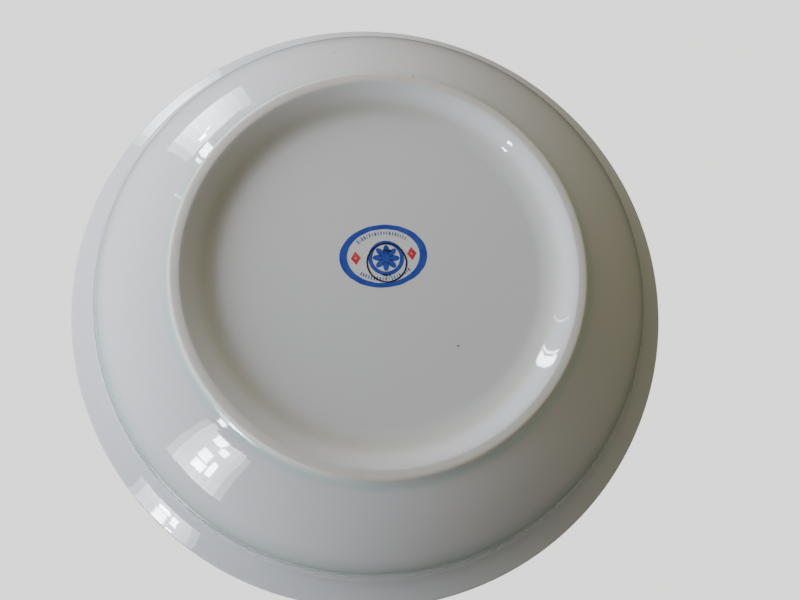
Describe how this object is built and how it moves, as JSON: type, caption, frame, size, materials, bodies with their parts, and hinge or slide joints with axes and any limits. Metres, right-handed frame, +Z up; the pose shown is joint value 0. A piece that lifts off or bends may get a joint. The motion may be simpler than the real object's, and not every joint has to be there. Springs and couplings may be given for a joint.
{
  "type": "serving bowl",
  "caption": "Round porcelain serving bowl with a flared rim band, a foot ring and a printed mark in the recess underneath.",
  "frame": {"origin": "middle of the foot ring's resting plane, under the middle of the bowl", "axes": "+Z up through the mouth with the bowl standing on its foot; -Y is the side nearer the camera, which looks up at the underside"},
  "size_m": [0.2286, 0.2286, 0.048],
  "materials": {
    "biscuit_clay": "matt, unglazed",
    "clear_glaze": "gloss",
    "recess_glaze": "gloss",
    "blue_print": "gloss",
    "red_print": "gloss",
    "black_print": "gloss"
  },
  "bodies": {
    "root": {"porcelain_body": "biscuit_clay", "glaze_coat": "clear_glaze", "base_glaze": "recess_glaze", "oval_band": "blue_print", "legend_upper": "blue_print", "legend_lower": "blue_print", "rosette": "blue_print", "diamond_left": "red_print", "diamond_right": "red_print", "stamp_ring": "black_print", "stamp_tick_upper": "black_print", "stamp_tick_lower": "black_print"}
  },
  "joints": []
}
